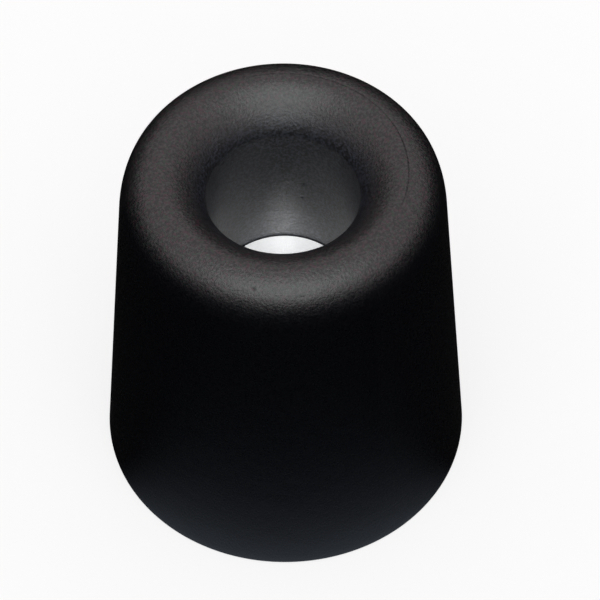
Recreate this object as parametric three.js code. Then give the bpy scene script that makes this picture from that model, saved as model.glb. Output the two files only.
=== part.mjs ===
// Rubber door stop of the floor and wall kind: a tapered rubber buffer with a flared mouth, and the
// steel washer at the foot of its counterbore, which the head of the fixing screw bears on.
// Millimetres, +Z up. The origin is the centre of the base, on the surface that the buffer stands on.

import * as THREE from 'three';

// Driving dimensions of the rubber moulding
const baseDiameter = 36; // where the side would meet the surface
const bufferHeight = 40; // from the base to the crest of the lip
const sideTaper = 3.9; // degrees that the side leans in
const baseEdgeRadius = 0.3; // round along the foot of the side
const crestDiameter = 23.6; // circle of the highest points of the lip, where its two rounds meet
const crestLean = 12; // degrees that the outer round still leans by where it reaches the crest
const shoulderDrop = 5.6; // from the crest down to where the outer round leaves the side
const shoulderFullness = 0.7; // how far the outer round fills out the sharp corner that it replaces
const mouthDrop = 4.3; // from the crest down to the throat
const mouthFullness = 0.38; // the same for the inner round, lower and so nearer to a plain chamfer
const throatDiameter = 14.7; // narrowest circle of the flared mouth
const witnessStep = 0.08; // line left on the crest where the mould's core met its cavity
const boreDraft = 2; // degrees that the counterbore narrows by on its way down
const seatHeight = 19.8; // from the base to the seat of the washer
const screwHoleDiameter = 7; // through the rubber under the washer

// Driving dimensions of the washer
const washerThickness = 1.5;
const washerHoleDiameter = 6.4;
const washerEdgeRadius = 0.25; // rolled edge that stamping leaves around the upper face
const washerClearance = 0.1; // between the washer's rim and the wall of the counterbore

// Fineness of the round forms
const turnSegments = 72;
const roundSteps = 12;
const smallRoundSteps = 3;

const radians = THREE.MathUtils.degToRad;

// Points along an elliptical round in the plane of an outline, where x is the radius and y the height.
function round(centreX, centreY, halfWidth, halfHeight, fromAngle, toAngle, steps) {
  const clockwise = fromAngle > toAngle;
  const curve = new THREE.EllipseCurve(
    centreX, centreY, halfWidth, halfHeight, fromAngle, toAngle, clockwise);
  return curve.getPoints(steps);
}

// Points along a curve that fills out a sharp corner and points at it from both its ends.
function bentRound(start, corner, end, fullness, steps) {
  const curve = new THREE.CubicBezierCurve(start, start.clone().lerp(corner, fullness),
    end.clone().lerp(corner, fullness), end);
  return curve.getPoints(steps);
}

// Radius of the counterbore at a height, widest at the throat and narrower below by its draft.
function boreRadius(z) {
  const throatHeight = bufferHeight - mouthDrop;
  return throatDiameter / 2 - (throatHeight - z) * Math.tan(radians(boreDraft));
}

// Small round where the base turns into the side, tangent to both.
function footRound(taper) {
  const baseRadius = baseDiameter / 2;
  const centreX = baseRadius - baseEdgeRadius * (1 + Math.sin(taper)) / Math.cos(taper);
  return round(centreX, baseEdgeRadius, baseEdgeRadius, baseEdgeRadius,
    -Math.PI / 2, taper, smallRoundSteps);
}

// Outer round of the lip, from the side up to the crest. It leaves the leaning side without a corner,
// and both its ends point at the sharp corner where the side would meet the top of the lip.
function shoulderRound(taper) {
  const baseRadius = baseDiameter / 2;
  const sideSlope = Math.tan(taper);
  const topSlope = Math.tan(radians(crestLean));
  const crest = new THREE.Vector2(crestDiameter / 2, bufferHeight);
  const topAtAxis = crest.y + crest.x * topSlope;
  const cornerRadius = (baseRadius - topAtAxis * sideSlope) / (1 - topSlope * sideSlope);
  const corner = new THREE.Vector2(cornerRadius, crest.y - (cornerRadius - crest.x) * topSlope);
  const startHeight = bufferHeight - shoulderDrop;
  const start = new THREE.Vector2(baseRadius - startHeight * sideSlope, startHeight);
  return bentRound(start, corner, crest, shoulderFullness, roundSteps);
}

// Inner round of the lip: the funnel that leads from just under the crest down to the throat.
function mouthRound() {
  const top = bufferHeight - witnessStep;
  const throatRadius = throatDiameter / 2;
  const start = new THREE.Vector2(crestDiameter / 2, top);
  const corner = new THREE.Vector2(throatRadius, top);
  const throat = new THREE.Vector2(throatRadius, bufferHeight - mouthDrop);
  return bentRound(start, corner, throat, mouthFullness, roundSteps);
}

// Closed outline of the moulding: out along the base, up the side, over the lip and down inside.
function bufferOutline() {
  const taper = radians(sideTaper);
  const holeRadius = screwHoleDiameter / 2;
  return [
    new THREE.Vector2(holeRadius, 0),
    ...footRound(taper),
    ...shoulderRound(taper),
    ...mouthRound(),
    new THREE.Vector2(boreRadius(seatHeight), seatHeight),
    new THREE.Vector2(holeRadius, seatHeight),
    new THREE.Vector2(holeRadius, 0),
  ];
}

// Closed outline of the washer. It lies flat on the seat and fills the counterbore's foot.
function washerOutline() {
  const holeRadius = washerHoleDiameter / 2;
  const rimRadius = boreRadius(seatHeight) - washerClearance;
  const top = seatHeight + washerThickness;
  return [
    new THREE.Vector2(holeRadius, seatHeight),
    new THREE.Vector2(rimRadius, seatHeight),
    ...round(rimRadius - washerEdgeRadius, top - washerEdgeRadius, washerEdgeRadius, washerEdgeRadius,
      0, Math.PI / 2, smallRoundSteps),
    new THREE.Vector2(holeRadius, top),
    new THREE.Vector2(holeRadius, seatHeight),
  ];
}

// A ring turned about the vertical axis from a closed outline.
function turnedRing(name, outline, material) {
  const geometry = new THREE.LatheGeometry(outline, turnSegments);
  geometry.rotateX(Math.PI / 2);
  const ring = new THREE.Mesh(geometry, material);
  ring.name = name;
  return ring;
}

const blackRubber = new THREE.MeshStandardMaterial({ color: 0x232020, roughness: 0.7, metalness: 0 });
const zincPlate = new THREE.MeshStandardMaterial({ color: 0xd9dbdc, roughness: 0.3, metalness: 1 });

const doorStop = new THREE.Group();
doorStop.name = 'door_stop';
doorStop.add(turnedRing('rubber_buffer', bufferOutline(), blackRubber));
doorStop.add(turnedRing('steel_washer', washerOutline(), zincPlate));

export default doorStop;
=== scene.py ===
# %% [markdown]
# # A rubber door stop
# The real thing is a tapered black rubber moulding with a bright steel washer at the bottom of its
# hole. A screw goes down the hole, its head bears on the washer, and the rubber takes the knock of
# the door. The CAD model already holds both pieces at their true size. It is loaded first, as a
# fixed frame, so that everything made here can take its place and size from it.

# %% Load the frame
import math

import bpy
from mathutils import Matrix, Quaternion, Vector


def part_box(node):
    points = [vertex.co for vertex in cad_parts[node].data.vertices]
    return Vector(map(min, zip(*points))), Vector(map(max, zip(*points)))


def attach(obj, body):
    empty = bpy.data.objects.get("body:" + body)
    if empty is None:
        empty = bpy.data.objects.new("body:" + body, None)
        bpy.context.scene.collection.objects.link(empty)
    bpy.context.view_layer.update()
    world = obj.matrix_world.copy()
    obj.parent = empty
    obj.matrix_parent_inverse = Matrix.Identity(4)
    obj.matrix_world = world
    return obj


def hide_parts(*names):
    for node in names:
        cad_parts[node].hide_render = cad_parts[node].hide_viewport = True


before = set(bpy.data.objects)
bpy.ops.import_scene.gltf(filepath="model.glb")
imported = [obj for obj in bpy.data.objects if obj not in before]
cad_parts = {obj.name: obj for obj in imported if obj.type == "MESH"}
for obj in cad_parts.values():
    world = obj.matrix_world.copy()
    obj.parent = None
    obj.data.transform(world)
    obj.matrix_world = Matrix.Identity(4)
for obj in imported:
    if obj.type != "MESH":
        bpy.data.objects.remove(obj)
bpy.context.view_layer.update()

# %% [markdown]
# ## Sizes
# Blender works in metres and the moulding is small, so one millimetre gets a name. The outer sizes
# come from the boxes of the two CAD nodes. The sizes of the lip and the bore can't be read from a
# box, so they are named here, as they are on the drawing of the moulding.

# %% Sizes of the two pieces
MM = 0.001
buffer_low, buffer_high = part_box("rubber_buffer")
washer_low, washer_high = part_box("steel_washer")

base_radius = (buffer_high.x - buffer_low.x) / 2
buffer_height = buffer_high.z - buffer_low.z
side_taper = math.radians(3.9)
foot_round = 0.3 * MM

crest_radius = 11.8 * MM
crest_lean = math.radians(12)
crest_softness = 0.8 * MM
crest_inset = 0.08 * MM
shoulder_drop = 5.6 * MM
shoulder_fullness = 0.7

mouth_drop = 3.9 * MM
mouth_fullness = 0.45
throat_fullness = 0.28
throat_radius = 7.35 * MM
throat_height = buffer_height - mouth_drop
bore_draft = math.radians(2)
seat_height = washer_low.z
screw_hole_radius = 3.5 * MM
screw_hole_edge = 0.15 * MM

rim_growth = 0.06 * MM  # closes most of the play between the washer and the bore
washer_radius = (washer_high.x - washer_low.x) / 2 + rim_growth
washer_hole_radius = 3.2 * MM
washer_roll, washer_edge = 0.12 * MM, 0.05 * MM
print(f"base {base_radius / MM:.2f} mm in radius, height {buffer_height / MM:.2f} mm")
print(f"washer {washer_radius / MM:.2f} mm in radius, from z {seat_height / MM:.2f} mm")

# %% [markdown]
# ## Turned forms
# Both pieces are round about one axis, so each is an outline swept round in a full turn. A Screw
# modifier would do that too, but building the rings of points in code leaves every point where it
# can be nudged afterwards, for marks that don't run the whole way round. An outline is a list of
# (radius, height) pairs that closes on itself. It is put together from straight stretches, small
# rounds on the edges, and bent curves for the full shapes of the lip. A bent curve replaces a sharp
# corner, and one number says how far it still fills that corner out.

# %% Outline helpers
def straight(start, end, steps):
    """Points along a straight stretch, without its last point."""
    return [tuple(a + (b - a) * i / steps for a, b in zip(start, end)) for i in range(steps)]


def rounded(centre, radius, start, end, steps):
    """Points along a round between two angles, with both its ends."""
    angles = [start + (end - start) * i / steps for i in range(steps + 1)]
    return [(centre[0] + radius * math.cos(a), centre[1] + radius * math.sin(a)) for a in angles]


def bent(start, corner, end, fullness, end_fullness, steps, crowding=1.0):
    """Points along a curve that replaces a sharp corner and points at it from both its ends.

    crowding above 1 brings the points closer together towards the end.
    """
    start, corner, end = Vector(start), Vector(corner), Vector(end)
    knots = [start, start.lerp(corner, fullness), end.lerp(corner, end_fullness), end]
    points = []
    for i in range(steps + 1):
        t = 1 - (1 - i / steps) ** crowding
        weights = ((1 - t) ** 3, 3 * t * (1 - t) ** 2, 3 * t * t * (1 - t), t ** 3)
        points.append(tuple(sum((w * k for w, k in zip(weights, knots)), Vector((0, 0)))))
    return points


# %% Sweep an outline into a ring
def turned(name, outline, turns, nudge=None):
    """A closed ring swept from an outline that runs out, up and back in. nudge may move a point."""
    points = []
    for turn in range(turns):
        angle = 2 * math.pi * turn / turns
        for radius, height in outline:
            r, z = nudge(radius, height, angle) if nudge else (radius, height)
            points.append((r * math.cos(angle), r * math.sin(angle), z))
    count = len(outline)
    faces = []
    for turn in range(turns):
        here, there = turn * count, (turn + 1) % turns * count
        for i in range(count):
            j = (i + 1) % count
            faces.append((here + i, there + i, there + j, here + j))
    mesh = bpy.data.meshes.new(name)
    mesh.from_pydata(points, [], faces)
    mesh.shade_smooth()
    piece = bpy.data.objects.new(name, mesh)
    bpy.context.scene.collection.objects.link(piece)
    print(f"{name}: {len(points)} points, {len(faces)} faces")
    return piece


# %% [markdown]
# ## The rubber moulding
# The side leans in, turns over a full shoulder to the crest, then runs down a flatter funnel to the
# throat and on into the counterbore. Rounds of plain circles would meet the leaning side in a
# corner or look too regular, so the shoulder and the funnel are bent curves: each fills out the
# corner where its two straight neighbours would meet, and so runs into both without a break. The
# crest and the edges keep a small round of their own, as rubber from a mould has, and those rounds
# also keep the shading clean.

# %% Outline of the moulding
def shoulder(crest):
    """Outer round of the lip, from the side up to the crest."""
    side_slope, top_slope = math.tan(side_taper), math.tan(crest_lean)
    top_at_axis = crest[1] + crest[0] * top_slope
    corner_radius = (base_radius - top_at_axis * side_slope) / (1 - top_slope * side_slope)
    corner = (corner_radius, crest[1] - (corner_radius - crest[0]) * top_slope)
    start_height = buffer_height - shoulder_drop
    start = (base_radius - start_height * side_slope, start_height)
    return bent(start, corner, crest, shoulder_fullness, shoulder_fullness, steps=64, crowding=1.6)


def funnel(crest):
    """Inner round of the lip, from the crest down to the throat, in line with the bore's draft."""
    corner = (throat_radius + mouth_drop * math.tan(bore_draft), buffer_height)
    throat = (throat_radius, throat_height)
    return bent(crest, corner, throat, mouth_fullness, throat_fullness, steps=48)


def buffer_outline():
    """Out along the base, up the side, over the lip, down the bore, in along the seat and out."""
    foot_radius = base_radius - foot_round * (1 + math.sin(side_taper)) / math.cos(side_taper)
    foot = rounded((foot_radius, foot_round), foot_round, -math.pi / 2, side_taper, steps=5)
    crest_centre = (crest_radius - crest_inset, buffer_height - crest_softness)
    crest = rounded(crest_centre, crest_softness, math.pi / 2 - crest_lean, math.pi / 2, steps=6)
    outer, mouth = shoulder(crest[0]), funnel(crest[-1])
    seat_radius = throat_radius - (throat_height - seat_height) * math.tan(bore_draft)
    seat = (seat_radius, seat_height)
    edge = screw_hole_edge
    hole_top = rounded((screw_hole_radius + edge, seat_height - edge), edge,
                       math.pi / 2, math.pi, steps=3)
    hole_foot = rounded((screw_hole_radius + edge, edge), edge,
                        math.pi, 1.5 * math.pi, steps=3)
    return [
        *hole_foot,
        *straight(hole_foot[-1], foot[0], steps=6)[1:],
        *foot,
        *straight(foot[-1], outer[0], steps=40)[1:],
        *outer,
        *crest[1:-1],
        *mouth,
        *straight(mouth[-1], seat, steps=36)[1:],
        *straight(seat, hole_top[0], steps=5),
        *hole_top,
        *straight(hole_top[-1], hole_foot[0], steps=12)[1:],
    ]


outline = buffer_outline()
print(f"outline of the moulding: {len(outline)} points")

# %% [markdown]
# ## The line on the lip
# The mould's core meets its cavity on the lip. Where the two didn't close quite flush they left a
# hairline, which runs round one side of the lip and fades out. It could be painted, but it is a
# real dent, so the points that lie on it move down, by about a tenth of a millimetre at most.

# %% A hairline round one side of the lip
hairline_radius, hairline_width, hairline_depth = 12.0 * MM, 0.16 * MM, 0.11 * MM
hairline_starts = (-35, -15)  # degrees round, from nothing to full depth
hairline_weakens = (40, 8)  # from its faint stretch to full depth
hairline_ends = (120, 60)  # from nothing to its faint stretch
hairline_faint = 0.3


def smooth(value, low, high):
    """0 at low, 1 at high, and an even turn from one to the other."""
    t = min(max((value - low) / (high - low), 0), 1)
    return t * t * (3 - 2 * t)


def hairline(radius, z, angle):
    """The point of the outline at that angle, moved down where it lies on the hairline."""
    if z < buffer_height - 1 * MM:
        return radius, z
    degrees = (math.degrees(angle) + 180) % 360 - 180
    strength = hairline_faint + (1 - hairline_faint) * smooth(degrees, *hairline_weakens)
    along = smooth(degrees, *hairline_starts) * strength * smooth(degrees, *hairline_ends)
    across = math.exp(-((radius - hairline_radius) / hairline_width) ** 2)
    return radius, z - hairline_depth * along * across


# %% Turn the moulding
buffer = turned("rubber_moulding", outline, turns=320, nudge=hairline)
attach(buffer, "root")
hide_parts("rubber_buffer")

# %% [markdown]
# ## The washer
# A washer is punched from strip. The punch pulls the upper edges down into a small roll and leaves
# the lower ones crisp. A cylinder with a Bevel modifier would round all its edges alike, so this
# is a turned outline too. Only the upper face shows, as a bright crescent beyond the near edge of
# the throat, and the roll on its rim and round its hole is what gives it away as metal.

# %% Outline of the washer
def washer_outline():
    """In along the lower face, up the hole, out along the upper face and down the rim."""
    roll, edge = washer_roll, washer_edge
    low, high = washer_low.z, washer_high.z
    rim, hole = washer_radius, washer_hole_radius
    flat_inset = 1.2 * roll
    return [
        *rounded((hole + edge, low + edge), edge, math.pi, 1.5 * math.pi, steps=2),
        *rounded((rim - edge, low + edge), edge, -math.pi / 2, 0, steps=2),
        *rounded((rim - roll, high - roll), roll, 0, math.pi / 2, steps=6),
        *straight((rim - flat_inset, high), (hole + flat_inset, high), steps=6),
        *rounded((hole + roll, high - roll), roll, math.pi / 2, math.pi, steps=6),
    ]


washer = turned("pressed_washer", washer_outline(), turns=128)
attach(washer, "root")
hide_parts("steel_washer")

# %% [markdown]
# ## Shader sums in Python
# A shader is a graph of nodes, and most of its small sums are easier to read as sums. The class
# below wraps one output of a node. Adding, subtracting, multiplying or dividing two of them, or one
# and a number, puts the Math node there. Everything that isn't a sum comes from one function that
# takes the node's type, its settings and its inputs.

# %% A socket that can be added and multiplied
class Value:
    def __init__(self, tree, socket):
        self.tree, self.socket = tree, socket

    def combine(self, operation, first, second):
        return add(self.tree, "ShaderNodeMath", {"operation": operation}, {0: first, 1: second})

    def __add__(self, other):
        return self.combine("ADD", self, other)

    def __sub__(self, other):
        return self.combine("SUBTRACT", self, other)

    def __rsub__(self, other):
        return self.combine("SUBTRACT", other, self)

    def __mul__(self, other):
        return self.combine("MULTIPLY", self, other)

    def __truediv__(self, other):
        return self.combine("DIVIDE", self, other)

    def __rtruediv__(self, other):
        return self.combine("DIVIDE", other, self)

    __radd__ = __add__
    __rmul__ = __mul__


def add(tree, kind, settings=None, inputs=None, output=0):
    """A node of any kind. Its settings are set first, then its inputs are filled or linked."""
    node = tree.nodes.new(kind)
    for name, setting in (settings or {}).items():
        setattr(node, name, setting)
    for name, given in (inputs or {}).items():
        if isinstance(given, Value):
            tree.links.new(given.socket, node.inputs[name])
        else:
            node.inputs[name].default_value = given
    return Value(tree, node.outputs[output]) if node.outputs else None


# %% [markdown]
# ## Helpers that every finish shares
# A finish starts as an empty material and ends at an output node. In between it mostly needs three
# things: a mask that runs smoothly from one value to another, a mix of two colours, and the place
# of a point on the object. Places are taken from the object itself, in metres, so that a grain
# keeps its real size and never slides over the surface.

# %% Materials, masks and mixes
def new_material(name):
    """An empty material and its nodes, ready for a shader."""
    material = bpy.data.materials.new(name)
    material.use_nodes = True
    material.node_tree.nodes.clear()
    return material, material.node_tree


def finish_material(material, shader):
    tree = material.node_tree
    add(tree, "ShaderNodeOutputMaterial", inputs={"Surface": shader})
    print(f"{material.name}: {len(tree.nodes)} nodes")
    return material


def ramp(tree, value, low, high, to_low=0.0, to_high=1.0):
    """value carried smoothly from one range to another, and held at both ends."""
    return add(tree, "ShaderNodeMapRange", {"interpolation_type": "SMOOTHSTEP"}, {
        "Value": value, "From Min": low, "From Max": high, "To Min": to_low, "To Max": to_high})


def blend_colours(tree, factor, first, second):
    """The first colour where factor is 0, the second where it is 1."""
    return add(tree, "ShaderNodeMix", {"data_type": "RGBA"}, {0: factor, 6: first, 7: second}, 2)


def place_on_object(tree):
    return add(tree, "ShaderNodeTexCoord", output="Object")


def coordinate(tree, place, axis):
    return add(tree, "ShaderNodeSeparateXYZ", inputs={0: place}, output=axis)


def vector_math(tree, operation, inputs, output="Vector"):
    return add(tree, "ShaderNodeVectorMath", {"operation": operation}, inputs, output)


def grain(tree, place, size, detail, seed=0.0):
    """Noise with spots of about that size. seed moves it, so that no two grains agree."""
    spot = vector_math(tree, "ADD", {0: place, 1: (seed, seed, seed)})
    return add(tree, "ShaderNodeTexNoise", {"noise_dimensions": "3D"},
               {"Vector": spot, "Scale": 1 / size, "Detail": detail, "Roughness": 0.55})


# %% [markdown]
# ## Pits in the rubber
# Air and grit in the mould left a few pits, two of them plain to see on the far wall of the bore.
# They are smaller than half a millimetre, far too small to model, so each is a soft spot in a mask.
# The mask both dents the skin and dulls it, because a pit holds dust.

# %% A mask for the pits
pits = [  # radius in mm, degrees round, height in mm, width in mm
    (7.10, 73.5, 29.3, 0.45), (7.03, 75.0, 27.3, 0.30), (7.40, 141.5, 35.5, 0.35),
    (11.75, 123.0, 40.0, 0.35), (13.66, 258.5, 39.2, 0.35), (8.82, 186.0, 38.3, 0.25),
]


def pit_mask(tree, place):
    """1 in the middle of each pit, and 0 away from them all."""
    in_pits = 0.0
    for radius, degrees, z, width in pits:
        turn = math.radians(degrees)
        centre = (radius * math.cos(turn) * MM, radius * math.sin(turn) * MM, z * MM)
        away = vector_math(tree, "DISTANCE", {0: place, 1: centre}, "Value")
        in_pits = ramp(tree, away, width * MM, 0.0) + in_pits
    return in_pits


print(f"{len(pits)} pits")

# %% [markdown]
# ## Bloom, painted lip light and dust on the rubber
# Bare rubber is almost black. Wax and chalk rise slowly out of it and leave a pale bloom, which
# shows on the lip as fine specks of grey, with a trace of warm and green ones. Because it is held
# to the lip alone, the bloom is also painted light: it makes the lip lighter and warmer than the
# bluish, near-black side, as if the lip were lit from above. The screw hole gathers a thin, bluish
# dust. A single grey would give the right tone but a dead surface, so each of the four is a layer
# of its own: specks from a grain, kept to where it belongs by a mask.

# %% Colour of the rubber
bare_rubber = (0.0007, 0.0009, 0.0022, 1)
# These layers are partly painted light: held to the lip, they make it lighter and warmer than the
# bluish, near-black side.
bloom_and_painted_lip_light = [  # colour, size of the specks in mm, their detail, seed, and where in the grain they show
    ((0.032, 0.029, 0.031, 1), 0.27, 2, 2.2, 0.46, 0.62),
    ((0.032, 0.010, 0.016, 1), 0.30, 1, 5.1, 0.50, 0.68),
    ((0.007, 0.024, 0.014, 1), 0.26, 1, 9.4, 0.52, 0.70),
]
dust = ((0.022, 0.025, 0.034, 1), 0.27, 2, 6.8, 0.42, 0.62)
bloom_and_painted_lip_light_heights = (37.0 * MM, 39.6 * MM)  # from none to all of it
dust_radii = (9.5 * MM, 7.5 * MM)


def rubber_colour(tree, place, height, radius):
    """Bare rubber under the wax specks of the lip, which are also painted light that makes the lip
    lighter and warmer than the side, and its dust, which lies in the bore.
    """
    # Painted light as well as bloom: only the lip gets the lighter, warmer specks, and the side
    # keeps the near-black bare rubber.
    on_lip = ramp(tree, height, *bloom_and_painted_lip_light_heights)
    in_recess = ramp(tree, radius, *dust_radii)
    colour = bare_rubber
    for where, layer in [*((on_lip, layer) for layer in bloom_and_painted_lip_light), (in_recess, dust)]:
        tint, size, detail, seed, low, high = layer
        specks = ramp(tree, grain(tree, place, size * MM, detail, seed), low, high) * where
        colour = blend_colours(tree, specks, colour, tint)
    return colour


print(f"{len(bloom_and_painted_lip_light)} layers of bloom and one of dust")

# %% [markdown]
# ## Black rubber
# Moulded rubber copies the spark-eroded skin of its steel mould, a fine and even grain that
# scatters light and leaves no sharp reflection. The side drew against the mould as it came out and
# is smoother than the lip. Displacing the mesh would need millions of faces for a grain this fine,
# so a Bump node does it: two fine grains that weaken down the side, a broad unevenness, and the
# pits. The bore is duller than the outside, because it is never wiped.

# %% Rubber material
fine_size, fine_relief = 0.08 * MM, 0.018 * MM
medium_size, medium_relief = 0.27 * MM, 0.040 * MM
broad_size, broad_relief = 3.5 * MM, 0.05 * MM
pit_relief = 0.03 * MM
side_height, lip_height, side_grain = 33 * MM, 38 * MM, 0.4
bore_edge = (8.0 * MM, 7.2 * MM)
lip_dullness, bore_dullness, pit_dullness = 0.07, 0.18, 0.35


def rubber_material():
    material, tree = new_material("black_rubber")
    place = place_on_object(tree)
    height = coordinate(tree, place, "Z")
    flat = vector_math(tree, "MULTIPLY", {0: place, 1: (1, 1, 0)})
    radius = vector_math(tree, "LENGTH", {0: flat}, "Value")

    fine = grain(tree, place, fine_size, 1)
    medium = grain(tree, place, medium_size, 2, 0.3)
    broad = grain(tree, place, broad_size, 3, 0.7)
    texture = ramp(tree, height, side_height, lip_height, side_grain, 1.0)
    in_pits = pit_mask(tree, place)
    in_bore = ramp(tree, radius, *bore_edge)
    relief = ((fine * fine_relief + medium * medium_relief) * texture
              + broad * broad_relief - in_pits * pit_relief)

    bare_roughness = ramp(tree, medium, 0.3, 0.7, 0.22, 0.32)
    shader = add(tree, "ShaderNodeBsdfPrincipled", inputs={
        "Base Color": rubber_colour(tree, place, height, radius),
        "Roughness": (bare_roughness + texture * lip_dullness
                      + in_bore * bore_dullness + in_pits * pit_dullness),
        "Specular IOR Level": 0.85,
        "Normal": add(tree, "ShaderNodeBump",
                      inputs={"Strength": 1.0, "Distance": 1.0, "Height": relief}),
    })
    return finish_material(material, shader)


buffer.data.materials.append(rubber_material())

# %% [markdown]
# ## Zinc plated steel
# A cheap washer is barrel plated. The zinc is bright but milky, with fine tumbling marks in every
# direction, so it looks nearly white in the light that falls down the hole and never mirrors the
# walls. A pure metal would mirror them and go dark, so this finish is only part metal: the milky
# part shows white, and the metal part throws some of the light on to the far wall.

# %% Washer material
mark_size, mark_relief = 0.3 * MM, 0.01 * MM
dull_zinc, bright_zinc = (0.86, 0.87, 0.88, 1), (0.95, 0.95, 0.95, 1)


def zinc_material():
    material, tree = new_material("bright_zinc")
    marks = add(tree, "ShaderNodeTexNoise", inputs={
        "Vector": place_on_object(tree), "Scale": 1 / mark_size, "Detail": 4})
    shader = add(tree, "ShaderNodeBsdfPrincipled", inputs={
        "Base Color": blend_colours(tree, marks, dull_zinc, bright_zinc),
        "Metallic": 0.4,
        "Roughness": ramp(tree, marks, 0.3, 0.7, 0.3, 0.4),
        "Normal": add(tree, "ShaderNodeBump",
                      inputs={"Strength": 1.0, "Distance": 1.0, "Height": marks * mark_relief}),
    })
    return finish_material(material, shader)


washer.data.materials.append(zinc_material())

# %% [markdown]
# ## Floor and backdrop
# The door stop stands on a plain white table that glows a little, as a light table does, so that
# its shadow stays soft and pale. One large disc is both floor and backdrop, because no camera looks
# up. A photographer covers most of such a table with black card, so that a black product keeps a
# dark surround, and leaves a little of it open in front. Light Path's Is Glossy Ray does the same
# here: what the rubber reflects is only a soft glow by the front of the foot, and nothing else.

# %% White table
table_radius = 2.4
paper_grey, table_glow = (0.3, 0.3, 0.3, 1), (0.72, 0.72, 0.72, 1)
covered, uncovered = (0, 0, 0, 1), (0.27, 0.31, 0.37, 1)
glow_reach = 4.5 * MM
glow_sides = (0.3, 1.1)  # forward over distance, from no glow at the sides to most in front


def reflected_glow(tree):
    """The colour of the table in reflections: black, with a glow by the front of the foot."""
    place = place_on_object(tree)
    distance = vector_math(tree, "LENGTH", {0: place}, "Value")
    forward = 0 - coordinate(tree, place, "Y")
    fade = add(tree, "ShaderNodeMath", {"operation": "EXPONENT"},
               {0: (base_radius - distance) / glow_reach})
    in_front = ramp(tree, forward / distance, *glow_sides)
    return blend_colours(tree, fade * in_front, covered, uncovered)


def table_material():
    material, tree = new_material("white_table")
    paper = add(tree, "ShaderNodeBsdfDiffuse", inputs={"Color": paper_grey})
    glow = add(tree, "ShaderNodeEmission", inputs={"Color": table_glow, "Strength": 1.0})
    seen = add(tree, "ShaderNodeAddShader", inputs={0: paper, 1: glow})
    reflected = add(tree, "ShaderNodeEmission", inputs={"Color": reflected_glow(tree)})
    in_reflection = add(tree, "ShaderNodeLightPath", output="Is Glossy Ray")
    return finish_material(material, add(tree, "ShaderNodeMixShader", inputs={
        0: in_reflection, 1: seen, 2: reflected}))


def white_table(radius):
    """A round table top, at the height of the base, which diffuse rays don't see."""
    bpy.ops.mesh.primitive_circle_add(vertices=96, radius=radius, fill_type="NGON")
    table = bpy.context.object
    table.name = "white_table_top"
    table.data.materials.append(table_material())
    table.visible_diffuse = False
    return table


white_table(table_radius)

# %% [markdown]
# ## Softboxes
# A very wide softbox hangs overhead and lights the lip all round. A smaller one leans towards the
# camera and adds the two brighter bands, on the near lip and inside the far one. Area lamps would
# need a size and a distance each. A Sun lamp with a wide angle is the plainer way: it covers a disc
# of the sky, and its light is the same everywhere on the table. Together their strength is about
# pi, at which a colour renders as it is written.

# %% Two softboxes
def softbox(name, strength, half_angle, tilt, colour):
    """A Sun lamp that fills a disc of the sky, with its strength in parts of pi.

    Both angles are in degrees. tilt leans it from overhead towards the camera.
    """
    lamp = bpy.data.lights.new(name, "SUN")
    lamp.energy = strength * math.pi
    lamp.angle = 2 * math.radians(half_angle)
    lamp.color = colour
    lamp_object = bpy.data.objects.new(name, lamp)
    lamp_object.rotation_euler = (math.radians(tilt), 0, 0)
    bpy.context.scene.collection.objects.link(lamp_object)
    print(f"{name}: {strength} pi over {2 * half_angle} degrees")


softbox("overhead_softbox", 0.6, half_angle=73, tilt=0, colour=(1.0, 0.905, 0.92))
softbox("front_softbox", 0.37, half_angle=32, tilt=34, colour=(0.92, 1.0, 0.99))

# %% [markdown]
# ## Snoots
# The hole is narrow and its walls are black, so softboxes alone leave the washer grey. A
# photographer puts a snoot on a lamp, a tube that lets out only a narrow beam, and aims it down the
# hole. Here that is a Spot lamp whose cone is just as wide as its target. A weak one from straight
# above fills the whole washer. A stronger one leans in over the near lip, lights the part of the
# washer that the camera sees, and glances off it on to the far wall.

# %% Two beams down the hole
lamp_distance = 0.5
lamp_size = 0.5 * MM


def snoot(name, target, tilt, beam_radius, watts):
    """A narrow beam aimed at a point.

    tilt, in degrees, leans the lamp from overhead towards the camera.
    """
    lean = math.radians(tilt)
    lamp = bpy.data.lights.new(name, "SPOT")
    lamp.energy = watts
    lamp.spot_size = 2 * math.atan(beam_radius / lamp_distance)
    lamp.spot_blend = 0.1
    lamp.shadow_soft_size = lamp_size
    lamp_object = bpy.data.objects.new(name, lamp)
    lamp_object.rotation_euler = (lean, 0, 0)
    towards_lamp = Vector((0, -math.sin(lean), math.cos(lean)))
    lamp_object.location = Vector(target) + lamp_distance * towards_lamp
    bpy.context.scene.collection.objects.link(lamp_object)
    print(f"{name}: {watts} W in a beam {2 * beam_radius / MM:.1f} mm wide")


snoot("washer_snoot", (0, 0, washer_high.z), tilt=0, beam_radius=7.2 * MM, watts=0.9)
snoot("front_snoot", (0, 4.2 * MM, washer_high.z), tilt=28, beam_radius=2.9 * MM, watts=9.4)

# %% [markdown]
# ## The room
# Behind the softboxes the room is dim. A little of it still shows in the rubber, which is glossy at
# a shallow angle, so it can't be one even grey: it fades out below the horizon, where the table's
# black card is, and towards the back, where it would brighten the far rim.

# %% Dim room
room_colour, no_light = (0.0375, 0.044, 0.05, 1), (0, 0, 0, 1)
horizon = (-0.30, 0.10)  # from no light below it to all of it above
back_to_front = (0.9, -0.2)
light_at_back = 0.3

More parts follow.
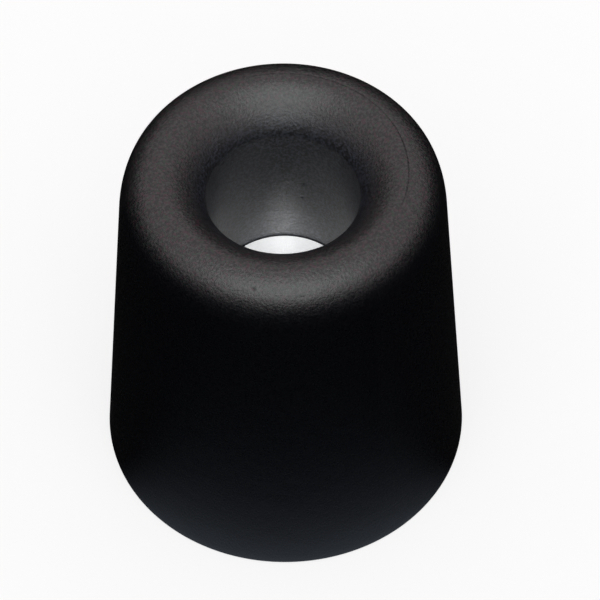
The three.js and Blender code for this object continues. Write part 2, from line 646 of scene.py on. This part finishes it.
room = bpy.data.worlds.new("dim_room")
room.use_nodes = True
room_tree = room.node_tree
room_tree.nodes.clear()
direction = add(room_tree, "ShaderNodeTexCoord", output="Generated")
above = ramp(room_tree, coordinate(room_tree, direction, "Z"), *horizon)
in_front = ramp(room_tree, coordinate(room_tree, direction, "Y"), *back_to_front, light_at_back)
surround = add(room_tree, "ShaderNodeBackground", inputs={
    "Color": blend_colours(room_tree, above * in_front, no_light, room_colour)})
add(room_tree, "ShaderNodeOutputWorld", inputs={"Surface": surround})
bpy.context.scene.world = room
print(f"{room.name}: {len(room_tree.nodes)} nodes")

# %% [markdown]
# ## Camera
# The photograph looks down at about 53 degrees with a long lens. The camera stands 400 mm from the
# middle of the object, is turned a trace about its own axis, and aims a little to the right, which
# is where the picture's centre lies. It could be placed by eye, but these numbers come from the
# outline of the real one, so the render can be laid over the photograph.

# %% Camera at the photograph's angle
PHOTO_PIXELS = 600
focal_pixels = 4079
centre_column, centre_row = 284.3, 297.7
camera_distance = 0.4
camera_elevation = math.radians(53.1)
camera_roll = math.radians(-0.45)
middle = Vector((0, 0, buffer_height / 2))

lens = bpy.data.cameras.new("long_lens")
lens.sensor_width = 36
lens.lens = focal_pixels * lens.sensor_width / PHOTO_PIXELS
lens.clip_start, lens.clip_end = 0.05, 10
camera = bpy.data.objects.new("long_lens", lens)
bpy.context.scene.collection.objects.link(camera)
back = Vector((0, -math.cos(camera_elevation), math.sin(camera_elevation)))
aim = (-back).to_track_quat("-Z", "Y")
right, up = aim @ Vector((1, 0, 0)), aim @ Vector((0, 1, 0))
slide = right * (PHOTO_PIXELS / 2 - centre_column) + up * (centre_row - PHOTO_PIXELS / 2)
camera.location = middle + back * camera_distance + slide * (camera_distance / focal_pixels)
camera.rotation_mode = "QUATERNION"
camera.rotation_quaternion = aim @ Quaternion((0, 0, 1), camera_roll)
bpy.context.scene.camera = camera
bpy.context.scene.view_settings.view_transform = "Standard"
print(f"lens {lens.lens:.1f} mm at {camera_distance / MM:.0f} mm")
